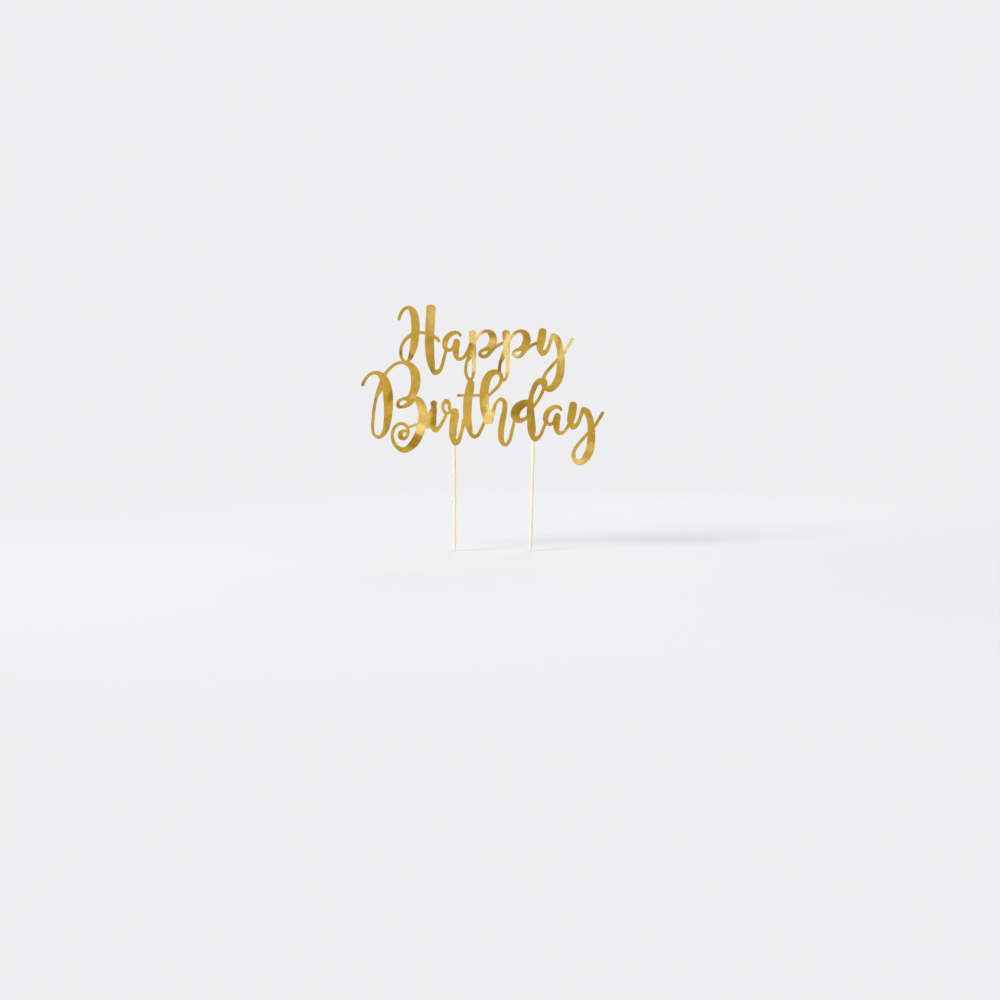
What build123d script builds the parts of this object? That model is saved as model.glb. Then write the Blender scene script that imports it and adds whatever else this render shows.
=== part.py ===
# Cake topper: two lines of joined brush lettering cut from foil-faced card, glued to two
# round wooden sticks that push into the cake.
#
# Frame: +X along the lettering, +Z up, and -Y is the side that is read.
# The origin lies midway between the sticks, on their axes, at the cake's surface.
# Sizes are in millimetres.

import os
from math import ceil, cos, radians, sin, sqrt, tan

from build123d import *

# Lettering
x_height = 27.2             # height of the small letters, without their loops
stem_width = 8.6            # pen width under full pressure
hairline_width = 3.0        # pen width under none
tip_bulge = 2.6             # most that the rounded end of a stroke stands out
dot_diameter = 6.4
cut_tolerance = 0.08        # most that the straight steps of the cut line leave its curve
baseline_height = 50.4      # the second line's baseline above the cake's surface

# Card
board_thickness = 0.36
foil_thickness = 0.05

# Sticks
stick_diameter = 3.0
stick_length = 120.0
stick_rise = 10.0           # how far the sticks reach above the second line's baseline
stick_end_chamfer = 0.3
right_stick_lean = 1.5      # degrees, as glued by hand: its foot is nearer to the other stick

# Glue, a bead along each stick on the back of the card
glue_film = 0.15            # between the card and the stick
glue_flank = 0.5            # on the card, on each side of the stick
glue_height = 1.7           # above the card
glue_slope = 15.0           # degrees that the bead's sides lean in
glue_below = 3.5            # how far it reaches below the second line's baseline
glue_beyond = 1.2           # how far it reaches past the stick's upper end

grid = x_height / 100       # the letters are drawn in hundredths of the x-height

# Pen paths of the letters, as (x, z, pressure): x along the line, z above the baseline, and
# the pressure in per cent. A path is a list of runs. Each run goes on from the last point of
# the one before it, and a new one begins wherever the path would else cross itself.
letters = {
    "H": [
        [[(0, 142, 0), (8, 163, 0), (20, 177, 5), (33, 180, 12), (46, 168, 64), (54, 141, 84),
          (56, 110, 86), (54, 80, 80), (50, 50, 72), (43, 26, 46), (35, 6, 15), (22, -5, 0)],
         [(10, 7, 0), (5, 25, 0), (7, 45, 0), (15, 63, 0), (28, 78, 5), (44, 89, 15)],
         [(62, 95, 0), (82, 95, 0), (102, 90, 0), (119, 81, 8), (129, 76, 5), (135, 68, 0)]],
        [[(109, 181, 100), (107, 150, 100), (105, 110, 100), (103, 70, 100), (104, 40, 100),
          (106, 10, 83), (111, -16, 61), (123, -40, 39)],
         [(137, -34, 15), (146, -16, 5), (152, 6, 0), (160, 36, 0)]],
    ],
    "a": [
        [[(61, 87, 0), (57, 93, 0), (46, 96, 10), (30, 91, 28), (16, 78, 40), (9, 60, 40),
          (11, 44, 22), (21, 36, 6)],
         [(32, 39, 4), (40, 55, 0), (46, 70, 0)]],
        [[(49, 66, 54), (48, 56, 64), (46, 40, 58), (47, 22, 46), (55, 6, 14)],
         [(66, 7, 4), (78, 18, 0), (88, 36, 0), (96, 56, 0)]],
    ],
    "p": [
        [[(8, 95, 78), (8, 80, 68), (9, 50, 52), (12, 24, 34), (13, 0, 16), (13, -22, 10),
          (11, -45, 6), (0, -65, 8)],
         [(-12, -51, 0), (-15, -25, 0), (-10, 0, 6), (0, 17, 48), (7, 42, 42)]],
        [[(13, 58, 0), (25, 80, 0), (40, 95, 0), (58, 101, 5), (72, 92, 55), (78, 76, 76),
          (75, 58, 78), (64, 44, 46), (50, 38, 6)],
         [(38, 33, 3), (33, 23, 6), (44, 14, 8)],
         [(58, 18, 12), (69, 32, 25), (84, 45, 5), (98, 54, 0), (114, 60, 0)]],
    ],
    "y": [
        [[(7, 102, 72), (5, 84, 83), (1, 62, 83), (-1, 45, 66), (9, 26, 50)],
         [(20, 33, 15), (28, 48, 8), (34, 66, 5), (40, 82, 20)]],
        [[(42, 85, 30), (52, 79, 52), (62, 60, 55), (67, 40, 61), (69, 20, 66), (70, 0, 72),
          (69, -20, 79), (67, -40, 83), (62, -60, 83), (51, -80, 74), (29, -96, 50)],
         [(12, -86, 24), (9, -68, 14), (15, -48, 4), (29, -29, 0), (43, -13, 0), (57, 2, 0),
          (72, 18, 0)],
         [(84, 33, 0), (95, 51, 0), (108, 73, 0)]],
    ],
    "B": [
        [[(0, 168, 0), (6, 182, 0), (17, 197, 0), (31, 207, 0), (47, 209, 10), (65, 198, 60),
          (80, 168, 99), (86, 132, 110), (87, 100, 99), (86, 66, 86), (82, 36, 66), (73, 6, 38),
          (52, -11, 5)],
         [(37, 0, 0), (33, 22, 0), (34, 50, 0), (39, 90, 0), (47, 128, 4), (61, 158, 54)],
         [(72, 197, 0), (92, 223, 0), (113, 239, 0), (138, 244, 5), (160, 236, 42),
          (176, 215, 92), (181, 188, 105), (179, 162, 99), (170, 136, 75), (153, 120, 36)],
         [(138, 120, 0), (121, 109, 0), (121, 95, 3)],
         [(139, 94, 6), (156, 103, 32), (172, 116, 20)]],
        [[(160, 126, 0), (178, 124, 20), (192, 112, 75), (202, 88, 95), (205, 62, 99),
          (202, 36, 99), (195, 10, 99), (184, -16, 95), (166, -40, 77), (138, -55, 40)],
         [(113, -41, 10), (102, -20, 5), (100, 0, 0), (107, 21, 0), (127, 35, 0)],
         [(145, 31, 0), (154, 16, 0), (153, -2, 0), (143, -15, 10), (130, -12, 28)],
         [(128, 2, 28), (138, 10, 0), (152, 8, 0)]],
        [[(150, 22, -10), (168, 27, -10), (192, 36, -10)]],
    ],
    "i": [
        [[(-30, 28, 55), (-12, 33, 78), (6, 34, 70)]],
        [[(-24, 40, 50), (-11, 56, 65), (2, 76, 40)]],
        [[(11, 95, 42), (9, 75, 58), (6, 50, 72), (8, 30, 64), (17, 16, 44)],
         [(26, 21, 15), (36, 34, 5), (45, 51, 0), (53, 70, 0)]],
    ],
    "r": [
        [[(34, 78, 0), (20, 71, 0), (8, 83, 3), (7, 100, 3), (18, 112, 28)],
         [(28, 103, 10), (29, 91, 5), (32, 81, 0), (44, 80, 5)]],
        [[(46, 79, 72), (47, 66, 83), (45, 50, 89), (42, 30, 80), (40, 10, 70), (41, -12, 62),
          (51, -29, 54)],
         [(61, -21, 22), (67, -3, 10), (73, 20, 5), (79, 46, 25)]],
    ],
    "t": [
        [[(30, 175, 66), (27, 155, 89), (23, 135, 94), (19, 110, 94), (18, 80, 89), (18, 60, 83),
          (20, 40, 72), (25, 20, 55), (42, -9, 15)],
         [(54, -4, 10), (63, 11, 5), (71, 28, 0), (79, 48, 0)]],
        [[(-13, 132, -10), (25, 132, -10), (66, 132, -10)]],
    ],
    "h": [
        [[(10, 127, 0), (34, 148, 0), (49, 164, 5), (58, 181, 8), (59, 199, 10)],
         [(49, 210, 22), (34, 211, 44), (20, 202, 72), (9, 184, 89), (3, 162, 94), (0, 136, 94),
          (1, 110, 100), (4, 84, 100), (10, 62, 100), (18, 44, 94)]],
        [[(21, 44, 48), (29, 70, 28), (37, 95, 5), (46, 112, 0), (58, 119, 5)],
         [(69, 111, 20), (72, 96, 28), (70, 78, 33), (66, 58, 44), (62, 38, 50), (59, 18, 50),
          (58, -2, 44), (60, -22, 39), (73, -37, 10)],
         [(85, -26, 5), (93, -2, 5), (99, 24, 0), (105, 49, 0)]],
    ],
    "d": [
        [[(56, 107, 44), (41, 105, 70), (25, 97, 94), (12, 83, 102), (8, 66, 102), (13, 53, 75),
          (25, 46, 38), (38, 50, 10), (52, 62, 0)]],
        [[(66, 90, 0), (81, 108, 0), (93, 127, 0), (102, 147, 3), (110, 167, 25)],
         [(107, 181, 40), (93, 181, 46), (80, 172, 36), (71, 155, 33), (64, 135, 28), (60, 114, 39),
          (60, 95, 61), (60, 72, 75), (62, 48, 80), (63, 28, 84), (65, 8, 76), (77, -17, 36)],
         [(90, -10, 10), (100, 8, 5), (108, 28, 0), (116, 48, 0)]],
    ],
}
dot_place = (11, 104)

# Where each letter stands, as (letter, along its line, above its baseline), and where the first
# line starts over the second
first_line = [("H", 0, 0), ("a", 147, 0), ("p", 242, 0), ("p", 357, 0), ("y", 482, 0)]
second_line = [("B", 0, 0), ("i", 232, -1), ("r", 267, 0), ("t", 339, 0), ("h", 414, 0), ("d", 513, 0),
               ("a", 616, -3), ("y", 712, -1)]
first_line_shift = 125
first_line_rise = 250

# Where the sticks cross the second line's baseline, behind the stems of two of its letters
left_stick_place = 312
right_stick_place = 584


def headings(points):
    """The way that a smooth curve through these points heads at each of them."""
    chords = [end - begin for begin, end in zip(points, points[1:])]
    ways = [chord.normalized() for chord in chords]
    # between the chords on the point's two sides, nearer to the shorter one
    inner = [
        (ways[i] * chords[i + 1].length + ways[i + 1] * chords[i].length).normalized()
        for i in range(len(chords) - 1)
    ]
    first = (ways[0] * 2 - inner[0]).normalized()
    last = (ways[-1] * 2 - inner[-1]).normalized()
    return [first, *inner, last]


def cut_line(points, ways):
    """A smooth curve that passes these points in these ways, as the straight steps of the cut."""
    steps = [points[0]]
    for begin, end, way, next_way in zip(points, points[1:], ways, ways[1:]):
        reach = (end - begin).length
        curve = Bezier(begin, begin + way * reach / 3, end - next_way * reach / 3, end)
        bow = (next_way - way).length * reach / 8
        count = max(1, ceil(sqrt(bow / cut_tolerance)))
        steps += [curve @ (step / count) for step in range(1, count)]
        steps.append(end)
    return steps


def pen_stroke(runs, start):
    """The faces that one pen path covers, one for each of its runs."""
    spots = [start + Vector(x, z) * grid for run in runs for x, z, pressure in run]
    swells = [pressure / 100 for run in runs for x, z, pressure in run]
    ways = headings(spots)
    halves = [
        Vector(-way.Y, way.X) * (hairline_width + (stem_width - hairline_width) * swell) / 2
        for way, swell in zip(ways, swells)
    ]
    left = [spot + half for spot, half in zip(spots, halves)]
    right = [spot - half for spot, half in zip(spots, halves)]

    def side(points, first, last):
        return cut_line(points[first:last + 1], headings(points)[first:last + 1])

    def round_tip(index, out):
        middle = spots[index] + out * min(halves[index].length, tip_bulge)
        across = halves[index].normalized()
        return cut_line([left[index], middle, right[index]], [out, -across, -out])[1:-1]

    faces = []
    first = 0
    for run in runs:
        last = first + len(run) - (first == 0)
        outline = side(right, first, last)
        if last == len(spots) - 1:
            outline += round_tip(last, ways[last])[::-1]
        outline += side(left, first, last)[::-1]
        if first == 0:
            outline += round_tip(first, -ways[first])
        faces.append(Face(Wire.make_polygon(outline)))
        first = last
    return faces


def line_faces(line, start):
    """The faces of a line of letters that starts at this point of its baseline."""
    faces = []
    for letter, along, above in line:
        corner = start + Vector(along, above) * grid
        for runs in letters[letter]:
            faces += pen_stroke(runs, corner)
        if letter == "i":
            faces.append(Pos(corner + Vector(*dot_place) * grid) * Circle(dot_diameter / 2).face())
    return faces


def round_stick(axis):
    """A stick whose axis starts where it crosses the second line's baseline."""
    stick = Cylinder(stick_diameter / 2, stick_length, align=(Align.CENTER, Align.CENTER, Align.MAX))
    stick = chamfer(stick.edges().filter_by(GeomType.CIRCLE), stick_end_chamfer)
    return Plane(axis.position, z_dir=axis.direction) * Pos(0, 0, stick_rise) * stick


def glue_bead(axis, stick):
    """A bead with round ends on the card's back, with the stick lying in it."""
    length = glue_below + stick_rise + glue_beyond
    middle = axis.position + axis.direction * (length / 2 - glue_below)
    back = Plane((middle.X, card_back, middle.Z), x_dir=axis.direction, z_dir=(0, 1, 0))
    bead = SlotOverall(length, stick_diameter + 2 * glue_flank)
    return extrude(back * bead, glue_height, taper=glue_slope) - stick


# The card's back clears the sticks by the glue film
card_back = -(stick_diameter / 2 + glue_film)

# The lettering starts where it puts the origin midway between the sticks
lean = radians(right_stick_lean)
foot_shift = baseline_height * tan(lean)
second_line_x = (foot_shift - (left_stick_place + right_stick_place) * grid) / 2
line_start = Vector(second_line_x, baseline_height)

strokes = line_faces(second_line, line_start)
strokes += line_faces(first_line, line_start + Vector(first_line_shift, first_line_rise) * grid)
lettering = strokes[0].fuse(*strokes[1:]).clean()
back_plane = Plane.XZ.offset(-card_back)
face_plane = back_plane.offset(board_thickness)

left_axis = Axis((second_line_x + left_stick_place * grid, 0, baseline_height), (0, 0, 1))
right_axis = Axis((second_line_x + right_stick_place * grid, 0, baseline_height), (sin(lean), 0, cos(lean)))
left_stick = round_stick(left_axis)
right_stick = round_stick(right_axis)

parts = {
    "lettering_board": extrude(back_plane * lettering, board_thickness),
    "gold_foil": extrude(face_plane * lettering, foil_thickness),
    "left_stick": left_stick,
    "right_stick": right_stick,
    "left_glue_bead": glue_bead(left_axis, left_stick),
    "right_glue_bead": glue_bead(right_axis, right_stick),
}

os.makedirs("parts", exist_ok=True)
for name, shape in parts.items():
    shape.label = name
    export_step(shape, f"parts/{name}.step")
    print(name, len(shape.solids()), "solid", round(shape.volume, 2), "mm3")
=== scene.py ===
import math

import bmesh
import bpy
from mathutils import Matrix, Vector, geometry


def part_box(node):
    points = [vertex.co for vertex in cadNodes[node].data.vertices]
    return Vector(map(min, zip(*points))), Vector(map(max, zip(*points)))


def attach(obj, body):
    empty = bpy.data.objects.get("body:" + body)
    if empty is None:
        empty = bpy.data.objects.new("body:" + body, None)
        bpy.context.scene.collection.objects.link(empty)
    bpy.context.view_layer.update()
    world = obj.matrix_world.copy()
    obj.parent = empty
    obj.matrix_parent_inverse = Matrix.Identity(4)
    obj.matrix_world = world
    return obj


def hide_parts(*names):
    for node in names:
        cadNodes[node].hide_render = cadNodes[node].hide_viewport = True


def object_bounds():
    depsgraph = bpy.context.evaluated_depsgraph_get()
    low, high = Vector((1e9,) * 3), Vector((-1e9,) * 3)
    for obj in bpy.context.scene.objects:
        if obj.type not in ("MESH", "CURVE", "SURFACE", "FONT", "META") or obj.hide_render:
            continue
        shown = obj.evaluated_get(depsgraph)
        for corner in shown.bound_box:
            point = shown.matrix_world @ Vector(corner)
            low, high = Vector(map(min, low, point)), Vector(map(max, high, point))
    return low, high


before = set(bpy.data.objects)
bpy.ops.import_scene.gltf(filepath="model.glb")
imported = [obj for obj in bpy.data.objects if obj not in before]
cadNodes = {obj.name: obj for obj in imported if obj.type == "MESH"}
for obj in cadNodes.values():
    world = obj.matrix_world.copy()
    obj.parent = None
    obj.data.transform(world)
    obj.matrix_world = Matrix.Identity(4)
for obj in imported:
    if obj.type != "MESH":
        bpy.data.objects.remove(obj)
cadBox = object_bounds()
mm = 0.001
noiseSpan = (0.3, 0.7)  # most values of a noise texture lie between these
print("frame loaded:", ", ".join(sorted(cadNodes)))


# Small helpers for node trees
def addNode(tree, kind, values=None, **settings):
    made = tree.nodes.new(kind)
    for key, value in settings.items():
        setattr(made, key, value)
    fillSockets(tree, made, values or {})
    return made


def fillSockets(tree, node, values):
    for socket, value in values.items():
        if isinstance(value, bpy.types.NodeSocket):
            tree.links.new(value, node.inputs[socket])
        else:
            node.inputs[socket].default_value = value


def addSockets(tree, inputs, outputs):
    for side, sockets in (("INPUT", inputs), ("OUTPUT", outputs)):
        for name, kind in sockets.items():
            tree.interface.new_socket(name, in_out=side, socket_type="NodeSocket" + kind)
    return addNode(tree, "NodeGroupInput").outputs, addNode(tree, "NodeGroupOutput").inputs


def maths(tree, operation, *values):
    made = addNode(tree, "ShaderNodeMath", dict(enumerate(values)), operation=operation)
    return made.outputs[0]


def vectorMaths(tree, operation, *values):
    made = addNode(tree, "ShaderNodeVectorMath", dict(enumerate(values)), operation=operation)
    return made.outputs[0]


def lengthOf(tree, vector):
    return addNode(tree, "ShaderNodeVectorMath", {0: vector}, operation="LENGTH").outputs["Value"]


def separate(tree, vector):
    return addNode(tree, "ShaderNodeSeparateXYZ", {0: vector}).outputs


def combine(tree, x, y):
    return addNode(tree, "ShaderNodeCombineXYZ", {0: x, 1: y}).outputs[0]


def remap(tree, value, low, high, toLow=0.0, toHigh=1.0):
    ends = {0: value, 1: low, 2: high, 3: toLow, 4: toHigh}
    return addNode(tree, "ShaderNodeMapRange", ends, interpolation_type="SMOOTHSTEP").outputs[0]


# The first value by its share, and the second by the rest
def weigh(tree, share, first, second):
    rest = maths(tree, "MULTIPLY", second, 1 - share)
    return maths(tree, "ADD", maths(tree, "MULTIPLY", first, share), rest)


def blendColours(tree, mask, first, second):
    made = addNode(tree, "ShaderNodeMix", {0: mask, 6: first, 7: second}, data_type="RGBA")
    return made.outputs[2]


def ramp(tree, value, stops):
    made = addNode(tree, "ShaderNodeValToRGB", {0: value})
    elements = made.color_ramp.elements
    while len(elements) < len(stops):
        elements.new(0.5)
    for element, (place, colour) in zip(elements, stops):
        element.position = place
        element.color = (*colour, 1)
    return made.outputs[0]


def objectPlace(tree, scale=(1, 1, 1)):
    coords = addNode(tree, "ShaderNodeTexCoord").outputs["Object"]
    return addNode(tree, "ShaderNodeMapping", {"Vector": coords, "Scale": scale}).outputs[0]


def noiseTexture(tree, place, scale, detail=2.0, roughness=0.5, distortion=0.0):
    values = {"Vector": place, "Scale": scale, "Detail": detail,
              "Roughness": roughness, "Distortion": distortion}
    return addNode(tree, "ShaderNodeTexNoise", values)


def noise(tree, place, **look):
    return noiseTexture(tree, place, **look).outputs[0]


# 1 on the faces that look along this axis of the object, either way, and 0 on those square to it
def facing(tree, axis, square=0.6, along=0.9):
    normal = separate(tree, addNode(tree, "ShaderNodeNewGeometry").outputs["True Normal"])
    return remap(tree, maths(tree, "ABSOLUTE", normal[axis]), square, along)


def bump(tree, height, distance, **under):
    return addNode(tree, "ShaderNodeBump", {"Height": height, "Distance": distance, **under}).outputs[0]


def newMaterial(name):
    made = bpy.data.materials.new(name)
    made.use_nodes = True
    return made, made.node_tree, made.node_tree.nodes["Principled BSDF"]


def setValues(shader, **values):
    for key, value in values.items():
        shader.inputs[key.replace("_", " ")].default_value = value


def dress(piece, material):
    piece.data.materials.clear()
    piece.data.materials.append(material)


def putInScene(name, data):
    made = bpy.data.objects.new(name, data)
    bpy.context.scene.collection.objects.link(made)
    return made


# Gold mirror film
goldFilm = {
    # Its colour by tone, from deep gold to pale. The tone holds painted reflections and painted shade, so the
    # pale end paints highlights and the deep end paints shade
    "colours": [(0.0, (0.32, 0.18, 0.0144)), (0.42, (0.59, 0.364, 0.05)),
                (0.76, (0.79, 0.545, 0.15)), (1.0, (1.0, 0.75, 0.275))],
    "edgeTint": (1.0, 0.86, 0.55, 1),
    "wave": {"scale": 22.0, "detail": 1.5, "roughness": 0.45, "distortion": 0.6},
    "waveSpan": (0.32, 0.68),
    # the tone that the waves paint into the film's colour, as painted reflection
    "wavePaintedReflection": (0.27, 0.47),
    "waveHeight": 0.10 * mm,
    "mottle": {"scale": 260.0, "roughness": 0.6, "distortion": 0.4},
    "mottleTone": (-0.05, 0.05),
    "haze": {"scale": 90.0},
    "roughness": (0.14, 0.26),
    "grain": {"scale": 1400.0, "detail": 1.0},
    "grainHeight": 0.004 * mm,
    "coat": 0.08,
    "coatRoughness": 0.08,
    # Painted reflections and painted shade: soft spots painted brighter or darker into the film's colour,
    # where a mirror would show brighter and darker places, with lengths in millimetres: (x, z, half width,
    # half height, core, strength). The core is the even share of a spot, and a strength under 0 makes it
    # dark.
    "spots": [
        (-57, 160, 7, 20, 0.2, 0.26), (-60, 137, 7, 6, 0.2, -0.18), (-55, 110, 8, 6, 0.2, -0.14),
        (-78, 124, 5, 6, 0.1, -0.50), (-86, 126, 4, 8, 0.2, -0.42), (-38, 132, 12, 14, 0.3, 0.13),
        (-44.5, 135, 4, 6, 0.2, 0.20), (-18, 141, 11, 13, 0.4, 0.62), (-23, 133.5, 3.5, 4, 0.2, -0.30),
        (-17, 117, 5.5, 18, 0.3, 0.60), (-1.5, 142, 6, 4.5, 0.2, -0.16), (-3, 135, 7, 6, 0.2, 0.42),
        (-12, 122, 4, 4, 0.2, -0.14), (13.4, 125, 6, 27, 0.4, 0.76), (19, 141, 5, 5, 0.2, 0.42),
        (5.8, 114, 4, 7, 0.3, -0.50), (20.5, 122.5, 6, 5, 0.2, 0.50), (32, 140, 5, 5, 0.2, -0.16),
        (38.5, 133.5, 6, 4, 0.2, -0.28), (56.5, 139, 6, 7, 0.2, 0.34), (63, 121, 5, 16, 0.2, 0.32),
        (70, 133, 9, 12, 0.5, 0.62), (52, 113, 7, 7, 0.2, -0.26), (-121, 96.5, 4, 4, 0.2, -0.36),
        (-110, 78, 4, 9, 0.2, -0.22), (-96, 86, 7, 9, 0.2, -0.30), (-97, 60, 6, 12, 0.2, -0.18),
        (-72.5, 98, 7, 14, 0.2, 0.10), (-75, 84, 6, 5, 0.2, 0.28), (-88, 76.5, 5, 4, 0.2, -0.30),
        (-67, 66, 12, 17, 0.5, 0.26), (-68, 55, 9, 7.5, 0.45, 0.24), (-71.5, 42.5, 11, 8, 0.45, -0.35),
        (-85, 49, 6, 6, 0.2, -0.16), (-55, 79, 5, 5, 0.3, -0.32), (-54.5, 68, 6, 14, 0.3, -0.44),
        (-42, 81, 4, 5, 0.2, -0.12), (-32.5, 86.3, 5, 3, 0.3, -0.55), (-15, 50, 5, 4, 0.2, -0.10),
        (-5, 80, 5, 11, 0.3, 0.32), (3, 79, 4.5, 7, 0.2, 0.26), (-4, 66.5, 8, 13, 0.35, 0.62),
        (25, 73, 14, 14, 0.2, -0.33), (38, 62, 8, 20, 0.3, -0.13), (40, 92, 8, 12, 0.2, -0.22),
        (53, 74, 8, 5, 0.2, 0.17), (60, 62, 4, 8, 0.2, -0.14), (64, 52, 7, 5, 0.2, 0.16),
        (78, 62, 24, 14, 0.3, 0.06), (90.5, 38, 6, 7, 0.2, 0.20), (80, 25.5, 9, 6, 0.2, 0.36),
        (100, 67, 6, 6, 0.2, -0.14),
    ],
    # How the spots' borders wander
    "bend": {"scale": 95.0},
    "bendReach": 13.0 * mm,
    # Fans of fine creases, painted into the film's colour as streaks of reflection and shade: (x, z, reach,
    # creases to the radian, strength), lengths in millimetres
    "paintedCreaseStreaks": [(-82, 80, 40, 26.0, 0.54), (-118, 76, 34, 34.0, 0.46)],
    "streak": {"scale": 1.0, "roughness": 0.6},
    "streakFade": (1.0, 0.7),
}


# A soft spot of painted reflection on the film, painted shade where its strength is under 0, round but for
# its stretch, which adds to the tone
def makePaintedLightSpotGroup():
    group = bpy.data.node_groups.new("filmPaintedLightSpot", "ShaderNodeTree")
    inputs = {"Place": "Vector", "Centre": "Vector", "Stretch": "Vector",
              "Core": "Float", "Tone": "Float", "Strength": "Float"}
    given, result = addSockets(group, inputs, {"Tone": "Float"})
    offset = vectorMaths(group, "SUBTRACT", given["Place"], given["Centre"])
    far = lengthOf(group, vectorMaths(group, "DIVIDE", offset, given["Stretch"]))
    mask = remap(group, far, 1.0, given["Core"])
    group.links.new(maths(group, "MULTIPLY_ADD", mask, given["Strength"], given["Tone"]), result["Tone"])
    return group


# Fine creases that fan out from a point on the film, painted into its tone as light and dark streaks of
# reflection
def makePaintedCreaseGroup():
    group = bpy.data.node_groups.new("filmPaintedCreaseStreaks", "ShaderNodeTree")
    inputs = {"Place": "Vector", "Root": "Vector", "Reach": "Float",
              "Fineness": "Float", "Strength": "Float", "Tone": "Float"}
    given, result = addSockets(group, inputs, {"Tone": "Float"})
    offset = vectorMaths(group, "SUBTRACT", given["Place"], given["Root"])
    away = separate(group, offset)
    angle = maths(group, "ARCTAN2", away["Z"], away["X"])
    share = maths(group, "DIVIDE", lengthOf(group, offset), given["Reach"])
    spot = combine(group, maths(group, "MULTIPLY", angle, given["Fineness"]), share)
    streak = maths(group, "SUBTRACT", noise(group, spot, **goldFilm["streak"]), 0.5)
    streak = maths(group, "MULTIPLY", streak, remap(group, share, *goldFilm["streakFade"]))
    group.links.new(maths(group, "MULTIPLY_ADD", streak, given["Strength"], given["Tone"]), result["Tone"])
    return group


def addPaintedLightSpots(tree, place, tone):
    bend = noiseTexture(tree, place, **goldFilm["bend"]).outputs["Color"]
    bend = vectorMaths(tree, "SUBTRACT", bend, (0.5, 0.5, 0.5))
    bent = vectorMaths(tree, "MULTIPLY_ADD", bend, (goldFilm["bendReach"],) * 3, place)
    group = makePaintedLightSpotGroup()
    # each spot paints reflection, or shade where its strength is under 0, into the film's tone
    for x, z, halfWidth, halfHeight, core, strength in goldFilm["spots"]:
        spot = addNode(tree, "ShaderNodeGroup", node_tree=group)
        fillSockets(tree, spot, {"Place": bent, "Centre": (x * mm, 0, z * mm), "Core": core, "Tone": tone,
                                 "Stretch": (halfWidth * mm, 1.0, halfHeight * mm), "Strength": strength})
        tone = spot.outputs["Tone"]
    return tone


def addPaintedCreaseStreaks(tree, place, tone):
    group = makePaintedCreaseGroup()
    for x, z, reach, fineness, strength in goldFilm["paintedCreaseStreaks"]:
        fan = addNode(tree, "ShaderNodeGroup", node_tree=group)
        fillSockets(tree, fan, {"Place": place, "Root": (x * mm, 0, z * mm), "Reach": reach * mm,
                                "Fineness": fineness, "Strength": strength, "Tone": tone})
        tone = fan.outputs["Tone"]
    return tone


def makeGoldFilm():
    material, tree, shader = newMaterial("goldFilm")
    place = objectPlace(tree)
    wave = noise(tree, place, **goldFilm["wave"])
    mottle = noise(tree, place, **goldFilm["mottle"])
    # The tone holds painted reflections and painted shade: it follows the waves, the spots and the crease
    # fans, besides a little random mottle
    tone = remap(tree, wave, *goldFilm["waveSpan"], *goldFilm["wavePaintedReflection"])
    tone = maths(tree, "ADD", tone, remap(tree, mottle, *noiseSpan, *goldFilm["mottleTone"]))
    tone = addPaintedCreaseStreaks(tree, place, addPaintedLightSpots(tree, place, tone))
    tree.links.new(ramp(tree, tone, goldFilm["colours"]), shader.inputs["Base Color"])
    haze = noise(tree, place, **goldFilm["haze"])
    tree.links.new(remap(tree, haze, *noiseSpan, *goldFilm["roughness"]), shader.inputs["Roughness"])
    waves = bump(tree, wave, goldFilm["waveHeight"])
    grain = bump(tree, noise(tree, place, **goldFilm["grain"]), goldFilm["grainHeight"], Normal=waves)
    tree.links.new(grain, shader.inputs["Normal"])
    setValues(shader, Metallic=1.0, Specular_Tint=goldFilm["edgeTint"],
              Coat_Weight=goldFilm["coat"], Coat_Roughness=goldFilm["coatRoughness"])
    return material


# Uncoated white board behind the film, a little darker where the die cut it
whiteBoard = {
    "colours": [(0.3, (0.74, 0.695, 0.60)), (0.62, (0.87, 0.835, 0.755))],
    "cutEdge": (0.68, 0.625, 0.53, 1),
    "cloud": {"scale": 60.0, "detail": 4.0, "roughness": 0.6},
    "cloudShare": 0.45,
    "fibre": {"scale": 2200.0, "detail": 3.0, "roughness": 0.7, "distortion": 0.5},
    "fibreHeight": 0.012 * mm,
    "roughness": (0.78, 0.95),
}


def makeWhiteBoard():
    material, tree, shader = newMaterial("whiteBoard")
    place = objectPlace(tree)
    cloud = noise(tree, place, **whiteBoard["cloud"])
    fibre = noise(tree, place, **whiteBoard["fibre"])
    sheet = ramp(tree, weigh(tree, whiteBoard["cloudShare"], cloud, fibre), whiteBoard["colours"])
    cut = blendColours(tree, remap(tree, fibre, *noiseSpan), whiteBoard["cutEdge"], sheet)
    tree.links.new(blendColours(tree, facing(tree, "Y"), cut, sheet), shader.inputs["Base Color"])
    tree.links.new(remap(tree, fibre, *noiseSpan, *whiteBoard["roughness"]), shader.inputs["Roughness"])
    tree.links.new(bump(tree, fibre, whiteBoard["fibreHeight"]), shader.inputs["Normal"])
    return material


# Pale birch of the sticks, with its grain along their length and sawn ends
birch = {
    "side": [(0.30, (0.74, 0.56, 0.36)), (0.46, (0.91, 0.82, 0.66)), (0.60, (0.96, 0.91, 0.80))],
    "sawnEnd": [(0.36, (0.46, 0.31, 0.17)), (0.60, (0.78, 0.63, 0.43))],
    "stretch": 0.035,  # the grain's fineness along the stick, against 1 across it
    "streak": {"scale": 1500.0, "detail": 3.0, "roughness": 0.6},
    "streakShare": 0.6,
    "streakHeight": 0.03 * mm,
    "band": {"scale": 420.0},
    "pore": {"scale": 2600.0, "detail": 1.0},
    "poreShare": 0.5,
    "roughness": (0.72, 0.55),
}


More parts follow.
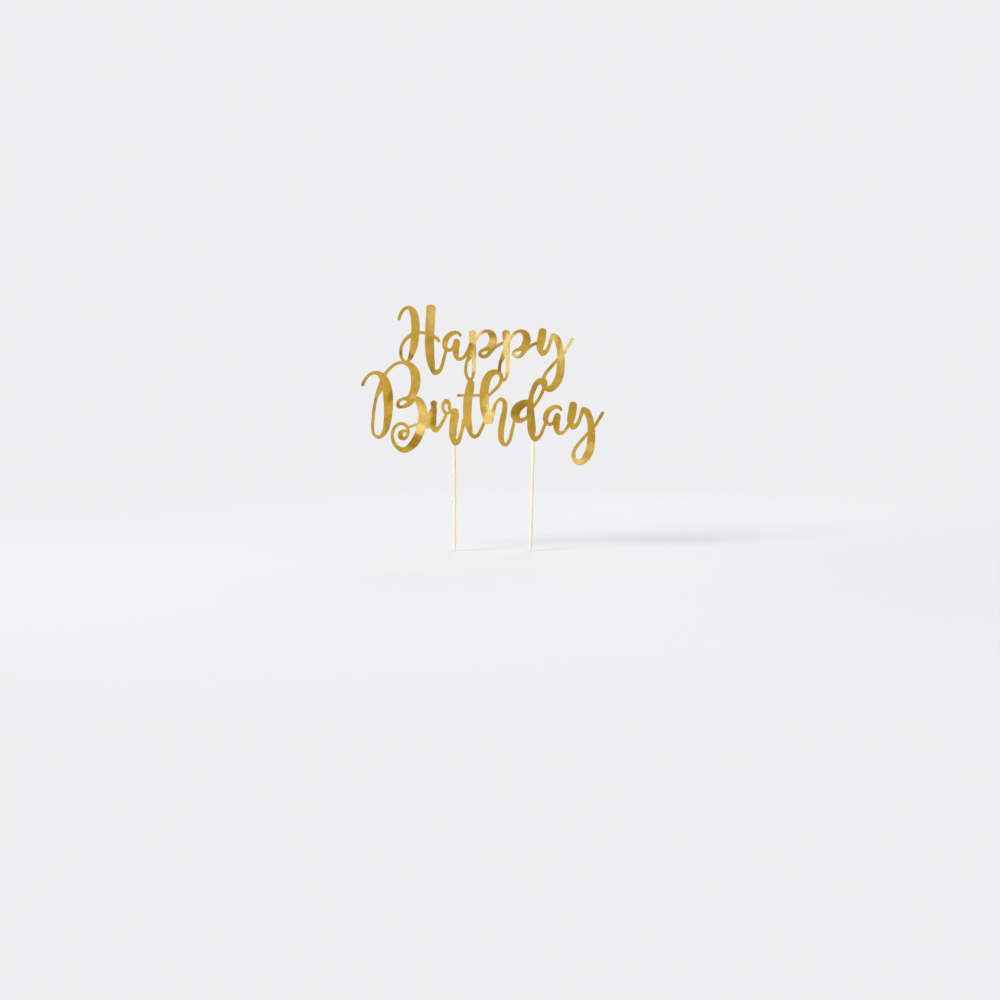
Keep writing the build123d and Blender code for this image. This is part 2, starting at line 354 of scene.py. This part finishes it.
def makeBirch():
    material, tree, shader = newMaterial("birch")
    along = objectPlace(tree, (1, 1, birch["stretch"]))
    streak = noise(tree, along, **birch["streak"])
    band = noise(tree, along, **birch["band"])
    pore = noise(tree, along, **birch["pore"])
    side = ramp(tree, weigh(tree, birch["streakShare"], streak, band), birch["side"])
    sawn = ramp(tree, weigh(tree, birch["poreShare"], pore, band), birch["sawnEnd"])
    tree.links.new(blendColours(tree, facing(tree, "Z"), side, sawn), shader.inputs["Base Color"])
    tree.links.new(remap(tree, streak, *noiseSpan, *birch["roughness"]), shader.inputs["Roughness"])
    tree.links.new(bump(tree, streak, birch["streakHeight"]), shader.inputs["Normal"])
    return material


# Hot-melt glue, milky and a little yellow
hotGlue = {
    "colours": [(0.35, (0.84, 0.75, 0.53)), (0.7, (0.93, 0.89, 0.77))],
    "cloud": {"scale": 350.0, "detail": 3.0, "roughness": 0.6},
    "roughness": (0.22, 0.38),
    "scatter": 0.2,
    "scatterDepth": 1.0 * mm,
}


def makeHotGlue():
    material, tree, shader = newMaterial("hotGlue")
    cloud = noise(tree, objectPlace(tree), **hotGlue["cloud"])
    tree.links.new(ramp(tree, cloud, hotGlue["colours"]), shader.inputs["Base Color"])
    tree.links.new(remap(tree, cloud, *noiseSpan, *hotGlue["roughness"]), shader.inputs["Roughness"])
    setValues(shader, Subsurface_Weight=hotGlue["scatter"], Subsurface_Scale=hotGlue["scatterDepth"])
    return material


# The card's cut line, read from the front of a CAD sheet and rounded between its points
cutLine = {
    "corner": 32.0,  # a turn of more degrees stays sharp
    "steps": 4,
    "shortest": 0.25 * mm,
    "weld": 0.001 * mm,
    "mitre": 1.5,  # the most that a corner reaches past the inset
    "frontNormal": -0.9,
}


def isFront(face):
    return face.normal.y < cutLine["frontNormal"]


def readOutlines(node):
    shape = bmesh.new()
    shape.from_mesh(node.data)
    bmesh.ops.remove_doubles(shape, verts=shape.verts, dist=cutLine["weld"])
    following = {}
    for face in filter(isFront, shape.faces):
        for loop in face.loops:
            if sum(isFront(beside) for beside in loop.edge.link_faces) == 1:
                following[loop.vert] = loop.link_loop_next.vert
    outlines = []
    while following:
        vert = next(iter(following))
        outline = []
        while vert in following:
            outline.append(Vector((vert.co.x, vert.co.z)))
            vert = following.pop(vert)
        clear = [here for here, arriving, _ in withRuns(outline) if arriving.length > cutLine["shortest"]]
        outlines.append(roundOutline(clear))
    shape.free()
    return outlines


# Each point with the runs that arrive at it and leave it
def withRuns(outline):
    for index, here in enumerate(outline):
        yield here, here - outline[index - 1], outline[(index + 1) % len(outline)] - here


def roundOutline(outline):
    handles = []
    for here, arriving, leaving in withRuns(outline):
        course = (arriving + leaving).normalized()
        sharp = arriving.angle(leaving) > math.radians(cutLine["corner"])
        before = here - (arriving if sharp else course * arriving.length) / 3
        after = here + (leaving if sharp else course * leaving.length) / 3
        handles.append((before, here, after))
    rounded = []
    for (_, here, after), (nextBefore, nextHere, _) in zip(handles, handles[1:] + handles[:1]):
        run = geometry.interpolate_bezier(here, after, nextBefore, nextHere, cutLine["steps"] + 1)
        rounded.extend(run[:-1])
    return rounded


# The same outline a little further into the card, which lies on its left
def insetOutline(outline, width):
    moved = []
    for here, arriving, leaving in withRuns(outline):
        course = (arriving.normalized() + leaving.normalized()).normalized()
        inwards = Vector((-course.y, course.x))
        straight = max(course.dot(leaving.normalized()), 1 / cutLine["mitre"])
        moved.append(here + inwards * width / straight)
    return moved


# The runs from point to point of all outlines, by the points' places in one list
def outlineRuns(outlines):
    runs = []
    for outline in outlines:
        places = range(len(runs), len(runs) + len(outline))
        runs.extend(zip(places, (*places[1:], places[0])))
    return runs


# Triangles that fill the outlines and leave their windows open
def fillOutlines(outlines):
    return geometry.tessellate_polygon([[(x / mm, z / mm, 0) for x, z in outline] for outline in outlines])


# A closed sheet in the place of a CAD sheet, flat on one side, with its edge rolled in on the other
def makeSheet(name, node, outlines, edge):
    low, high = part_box(node)
    flatLevel, rolledLevel = (high[1], low[1]) if edge["side"] == "front" else (low[1], high[1])
    rimLevel = rolledLevel + math.copysign(edge["depth"], flatLevel - rolledLevel)
    insets = [insetOutline(outline, edge["width"]) for outline in outlines]
    verts = []
    for ring, level in ((outlines, flatLevel), (outlines, rimLevel), (insets, rolledLevel)):
        for x, z in (point for outline in ring for point in outline):
            verts.append((min(max(x, low[0]), high[0]), level, min(max(z, low[2]), high[2])))
    runs = outlineRuns(outlines)
    count = len(runs)
    faces = []
    for first in (0, count):
        for here, there in runs:
            faces.append((first + here, first + there, first + count + there, first + count + here))
    for ring, first in ((outlines, 0), (insets, 2 * count)):
        faces.extend([first + place for place in corners] for corners in fillOutlines(ring))
    mesh = bpy.data.meshes.new(name)
    mesh.from_pydata(verts, [], faces)
    shape = bmesh.new()
    shape.from_mesh(mesh)
    bmesh.ops.recalc_face_normals(shape, faces=shape.faces)
    shape.to_mesh(mesh)
    shape.free()
    print(name, len(mesh.polygons), "faces")
    return putInScene(name, mesh)


# The die rolls the film down at the front of the cut, and leaves the board a little round at the back
filmEdge = {"side": "front", "width": 0.18 * mm, "depth": 0.04 * mm}
boardEdge = {"side": "back", "width": 0.12 * mm, "depth": 0.05 * mm}


# A hand-laid run of glue on the card's back, lumpy and drawn in at its ends, with the stick pressed into it
glueRun = {
    "width": 4.8 * mm,
    "height": 1.7 * mm,
    "unevenness": 0.16,
    "lumps": 4.5,
    "lumpGain": 4.0,  # the noise swings by about a quarter each way
    "seeds": {"left": 3.0, "right": 8.0},
    "heightSeed": 20.0,
    "aside": {"left": 0.0, "right": -0.5 * mm},
    "bluntness": 8.0,  # how suddenly the run ends
    "shoulder": 0.7,  # under 1 is fuller than round
    "sides": 32,
    "steps": 110,
    "weld": 0.002 * mm,
    "sharpAngle": 0.7,
}


def makeGlueTree():
    tree = bpy.data.node_groups.new("glueRun", "GeometryNodeTree")
    inputs = {"Stick": "Object", "Bottom": "Vector", "Top": "Vector", "Width": "Float", "Height": "Float",
              "Unevenness": "Float", "Lumps": "Float", "Seed": "Float", "Material": "Material"}
    given, result = addSockets(tree, inputs, {"Geometry": "Geometry"})
    sizes = {"Vertices": glueRun["sides"], "Side Segments": glueRun["steps"], "Radius": 1.0, "Depth": 1.0}
    tube = addNode(tree, "GeometryNodeMeshCylinder", sizes, fill_type="NONE").outputs["Mesh"]
    across, up, level = separate(tree, addNode(tree, "GeometryNodeInputPosition").outputs[0])
    along = maths(tree, "ADD", level, 0.5)
    # nearly even along the run, then quickly down to nothing at its two ends
    fromMiddle = maths(tree, "ABSOLUTE", maths(tree, "MULTIPLY", level, 2.0))
    lost = maths(tree, "POWER", fromMiddle, glueRun["bluntness"])
    full = maths(tree, "SQRT", maths(tree, "MAXIMUM", maths(tree, "SUBTRACT", 1.0, lost), 0.0))

    def lumpy(size, shift):
        seed = maths(tree, "ADD", given["Seed"], shift)
        spot = combine(tree, maths(tree, "MULTIPLY", along, given["Lumps"]), seed)
        swell = maths(tree, "SUBTRACT", noise(tree, spot, scale=1.0), 0.5)
        gain = maths(tree, "MULTIPLY", given["Unevenness"], glueRun["lumpGain"])
        swell = maths(tree, "MULTIPLY_ADD", swell, gain, 1.0)
        return maths(tree, "MULTIPLY", maths(tree, "MULTIPLY", size, full), swell)

    # a flat foot on the card and full shoulders
    flank = maths(tree, "POWER", maths(tree, "ABSOLUTE", across), glueRun["shoulder"])
    flank = maths(tree, "MULTIPLY", maths(tree, "SIGN", across), flank)
    crown = maths(tree, "POWER", maths(tree, "MAXIMUM", up, 0.0), glueRun["shoulder"])
    halfWidth = maths(tree, "MULTIPLY", lumpy(given["Width"], 0.0), 0.5)
    height = lumpy(given["Height"], glueRun["heightSeed"])
    offset = combine(tree, maths(tree, "MULTIPLY", flank, halfWidth), maths(tree, "MULTIPLY", crown, height))
    ends = {0: along, 4: given["Bottom"], 5: given["Top"]}
    axis = addNode(tree, "ShaderNodeMix", ends, data_type="VECTOR").outputs[1]
    place = vectorMaths(tree, "ADD", axis, offset)
    run = addNode(tree, "GeometryNodeSetPosition", {"Geometry": tube, "Position": place}).outputs[0]

    def welded(shape):
        weld = {"Geometry": shape, "Distance": glueRun["weld"]}
        return addNode(tree, "GeometryNodeMergeByDistance", weld).outputs[0]

    stick = addNode(tree, "GeometryNodeObjectInfo", {"Object": given["Stick"]}).outputs["Geometry"]
    cut = addNode(tree, "GeometryNodeMeshBoolean", {"Mesh 1": welded(run), "Mesh 2": welded(stick)},
                  operation="DIFFERENCE", solver="EXACT").outputs["Mesh"]
    smooth = addNode(tree, "GeometryNodeSetShadeSmooth", {"Geometry": cut, "Shade Smooth": True}).outputs[0]
    turn = addNode(tree, "GeometryNodeInputMeshEdgeAngle").outputs["Unsigned Angle"]
    sharp = maths(tree, "GREATER_THAN", turn, glueRun["sharpAngle"])
    edges = {"Geometry": smooth, "Selection": sharp, "Shade Smooth": False}
    creased = addNode(tree, "GeometryNodeSetShadeSmooth", edges, domain="EDGE").outputs[0]
    solid = addNode(tree, "GeometryNodeRealizeInstances", {"Geometry": creased}).outputs[0]
    finish = {"Geometry": solid, "Material": given["Material"]}
    tree.links.new(addNode(tree, "GeometryNodeSetMaterial", finish).outputs[0], result["Geometry"])
    return tree


def makeGlueRun(side, tree, material):
    low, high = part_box(side + "_glue_bead")
    straightLow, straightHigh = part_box("left_glue_bead")
    flank = (straightHigh[0] - straightLow[0]) / 2  # the left bead stands straight, so this is half its width
    aside = glueRun["aside"][side]
    piece = putInScene(side + "_glue_run", bpy.data.meshes.new(side + "_glue_run"))
    modifier = piece.modifiers.new("glueRun", "NODES")
    modifier.node_group = tree
    values = {"Stick": cadNodes[side + "_stick"],
              "Bottom": Vector((low[0] + flank + aside, low[1], low[2])),
              "Top": Vector((high[0] - flank + aside, low[1], high[2])),
              "Width": glueRun["width"], "Height": glueRun["height"],
              "Unevenness": glueRun["unevenness"], "Lumps": glueRun["lumps"],
              "Seed": glueRun["seeds"][side], "Material": material}
    for socket in tree.interface.items_tree:
        if socket.in_out == "INPUT":
            modifier[socket.identifier] = values[socket.name]
    bpy.context.view_layer.update()
    made = bpy.data.meshes.new_from_object(piece.evaluated_get(bpy.context.evaluated_depsgraph_get()))
    piece.modifiers.clear()
    piece.data = made
    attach(piece, "root")
    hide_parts(side + "_glue_bead")
    print(piece.name, len(made.polygons), "faces")


outlines = readOutlines(cadNodes["gold_foil"])
for name, node, edge, slot, material in (
        ("gold_film", "gold_foil", filmEdge, "gold_foil", makeGoldFilm()),
        ("white_board", "lettering_board", boardEdge, "white_board", makeWhiteBoard())):
    sheet = makeSheet(name, node, outlines, edge)
    dress(sheet, material)
    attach(sheet, "root")
    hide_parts(node)
stickWood = makeBirch()
glueTree = makeGlueTree()
glue = makeHotGlue()
for side in ("left", "right"):
    makeGlueRun(side, glueTree, glue)
    dress(cadNodes[side + "_stick"], stickWood)
print("pieces dressed")


# Pale floor under the stick ends, which fades out into the pale surround
surround = {
    "colour": (0.86, 0.86, 0.875, 1),
    "ambient": 0.50,
    "floor": (0.85, 0.85, 0.865, 1),
    "floorRadius": 1.2,
    "floorSides": 96,
    "floorRoughness": 0.9,
    "floorShine": 0.1,
    "fadeFrom": 0.2,
    "fadeTo": 0.85,
}


def makeFloor():
    bpy.ops.mesh.primitive_circle_add(vertices=surround["floorSides"], radius=surround["floorRadius"],
                                      fill_type="NGON", location=(0, 0, cadBox[0].z))
    floor = bpy.context.object
    floor.name = "floor"
    material, tree, shader = newMaterial("paleFloor")
    far = lengthOf(tree, addNode(tree, "ShaderNodeTexCoord").outputs["Object"])
    tree.links.new(remap(tree, far, surround["fadeTo"], surround["fadeFrom"]), shader.inputs["Alpha"])
    setValues(shader, Base_Color=surround["floor"], Roughness=surround["floorRoughness"],
              Specular_IOR_Level=surround["floorShine"])
    dress(floor, material)


# The camera and reflections see the surround at its full colour, and it lights the pieces by less
def makeWorld():
    world = bpy.data.worlds.new("surround")
    world.use_nodes = True
    bpy.context.scene.world = world
    tree = world.node_tree
    rays = addNode(tree, "ShaderNodeLightPath")
    seen = maths(tree, "MAXIMUM", rays.outputs["Is Camera Ray"], rays.outputs["Is Glossy Ray"])
    seen = maths(tree, "MAXIMUM", seen, rays.outputs["Is Transmission Ray"])
    background = tree.nodes["Background"]
    background.inputs["Color"].default_value = surround["colour"]
    strength = addNode(tree, "ShaderNodeMapRange", {0: seen, 3: surround["ambient"], 4: 1.0})
    tree.links.new(strength.outputs[0], background.inputs["Strength"])


# Three soft lamps: a strong one high on the left, a weak one on the right and one behind for the card's back
lampAim = Vector((0, 0, 0.06))
lamps = {
    "key": {"place": (-2.24, -1.52, 1.84), "size": 1.1, "power": 79.0},
    "fill": {"place": (1.2, -0.9, 0.5), "size": 0.9, "power": 3.0},
    "rear": {"place": (0.5, 1.5, 0.7), "size": 1.0, "power": 11.0},
}


def makeLamps():
    for name, lamp in lamps.items():
        light = bpy.data.lights.new(name, "AREA")
        light.size = lamp["size"]
        light.energy = lamp["power"]
        holder = putInScene(name, light)
        holder.location = lamp["place"]
        holder.rotation_euler = (lampAim - holder.location).to_track_quat("-Z", "Y").to_euler()


# What the film mirrors from in front: a soft wall behind the camera, seen by reflections alone
mirrorWall = {
    "away": 2.6,
    "width": 5.0,
    "height": 4.0,
    "lift": 0.1,
    "patches": {"scale": 2.2, "detail": 1.0},
    "patchSpan": (0.35, 0.65),
    "light": (0.56, 1.2),
}


def makeMirrorWall():
    bpy.ops.mesh.primitive_plane_add(size=1, location=(0, 0, 0))
    wall = bpy.context.object
    wall.name = "mirrorWall"
    for vert in wall.data.vertices:
        level = vert.co.y * mirrorWall["height"] + mirrorWall["lift"]
        vert.co = (vert.co.x * mirrorWall["width"], -mirrorWall["away"], level)
    material, tree, shader = newMaterial("mirrorWall")
    tree.nodes.remove(shader)
    patches = noise(tree, objectPlace(tree), **mirrorWall["patches"])
    light = remap(tree, patches, *mirrorWall["patchSpan"], *mirrorWall["light"])
    glow = addNode(tree, "ShaderNodeEmission", {"Strength": light})
    tree.links.new(glow.outputs[0], tree.nodes["Material Output"].inputs["Surface"])
    dress(wall, material)
    wall.visible_camera = False
    wall.visible_diffuse = False
    wall.visible_shadow = False


# The photograph's view, a little from above: the frame's width at the target, and the camera's way from it
photoView = {
    "frameWidth": 0.934,
    "distance": 1.75,
    "pitch": 4.8,
    "target": (0.0063, -0.002, -0.0113),
    "sensorWidth": 36,
}


def makeCamera():
    data = bpy.data.cameras.new("camera")
    data.sensor_width = photoView["sensorWidth"]
    data.lens = data.sensor_width * photoView["distance"] / photoView["frameWidth"]
    camera = putInScene("camera", data)
    pitch = math.radians(photoView["pitch"])
    back = Vector((0, -math.cos(pitch), math.sin(pitch)))
    camera.location = Vector(photoView["target"]) + back * photoView["distance"]
    camera.rotation_euler = (math.radians(90) - pitch, 0, 0)
    bpy.context.scene.camera = camera


makeFloor()
makeWorld()
makeLamps()
makeMirrorWall()
makeCamera()
bpy.context.scene.view_settings.view_transform = "Standard"
print("studio ready")
